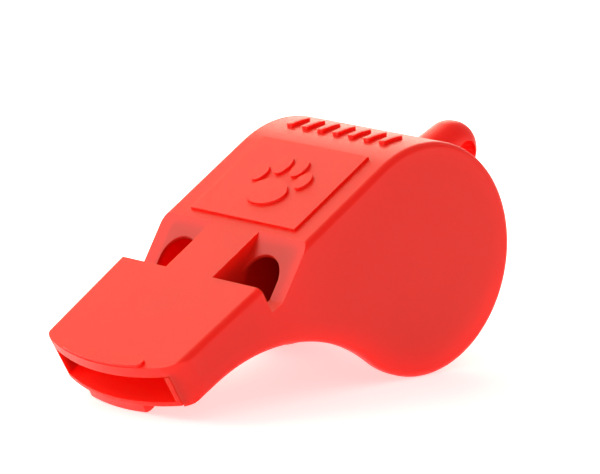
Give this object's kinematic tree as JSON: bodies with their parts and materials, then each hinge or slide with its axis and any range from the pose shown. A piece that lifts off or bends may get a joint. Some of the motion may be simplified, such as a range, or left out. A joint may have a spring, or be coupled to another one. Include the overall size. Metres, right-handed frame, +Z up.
{
  "type": "training whistle",
  "caption": "Pealess moulded training whistle with a flat mouthpiece, shoulder windows, a round chamber body and a lanyard lug.",
  "frame": {"origin": "middle of the footprint, on the surface that the whistle stands on", "axes": "+X from the mouthpiece to the lanyard lug, +Y across to the whistle's left side, +Z up, with the whistle resting on its round bottom and its lower bite ridge"},
  "size_m": [0.0578, 0.0234, 0.0272],
  "materials": {
    "casing_plastic": "satin moulded red, fine grain, rounded edges",
    "tray_plastic": "satin moulded red",
    "core_plastic": "smooth moulded red"
  },
  "bodies": {
    "root": {"outer_casing": "casing_plastic", "base_tray": "tray_plastic", "chamber_core": "core_plastic"}
  },
  "joints": []
}
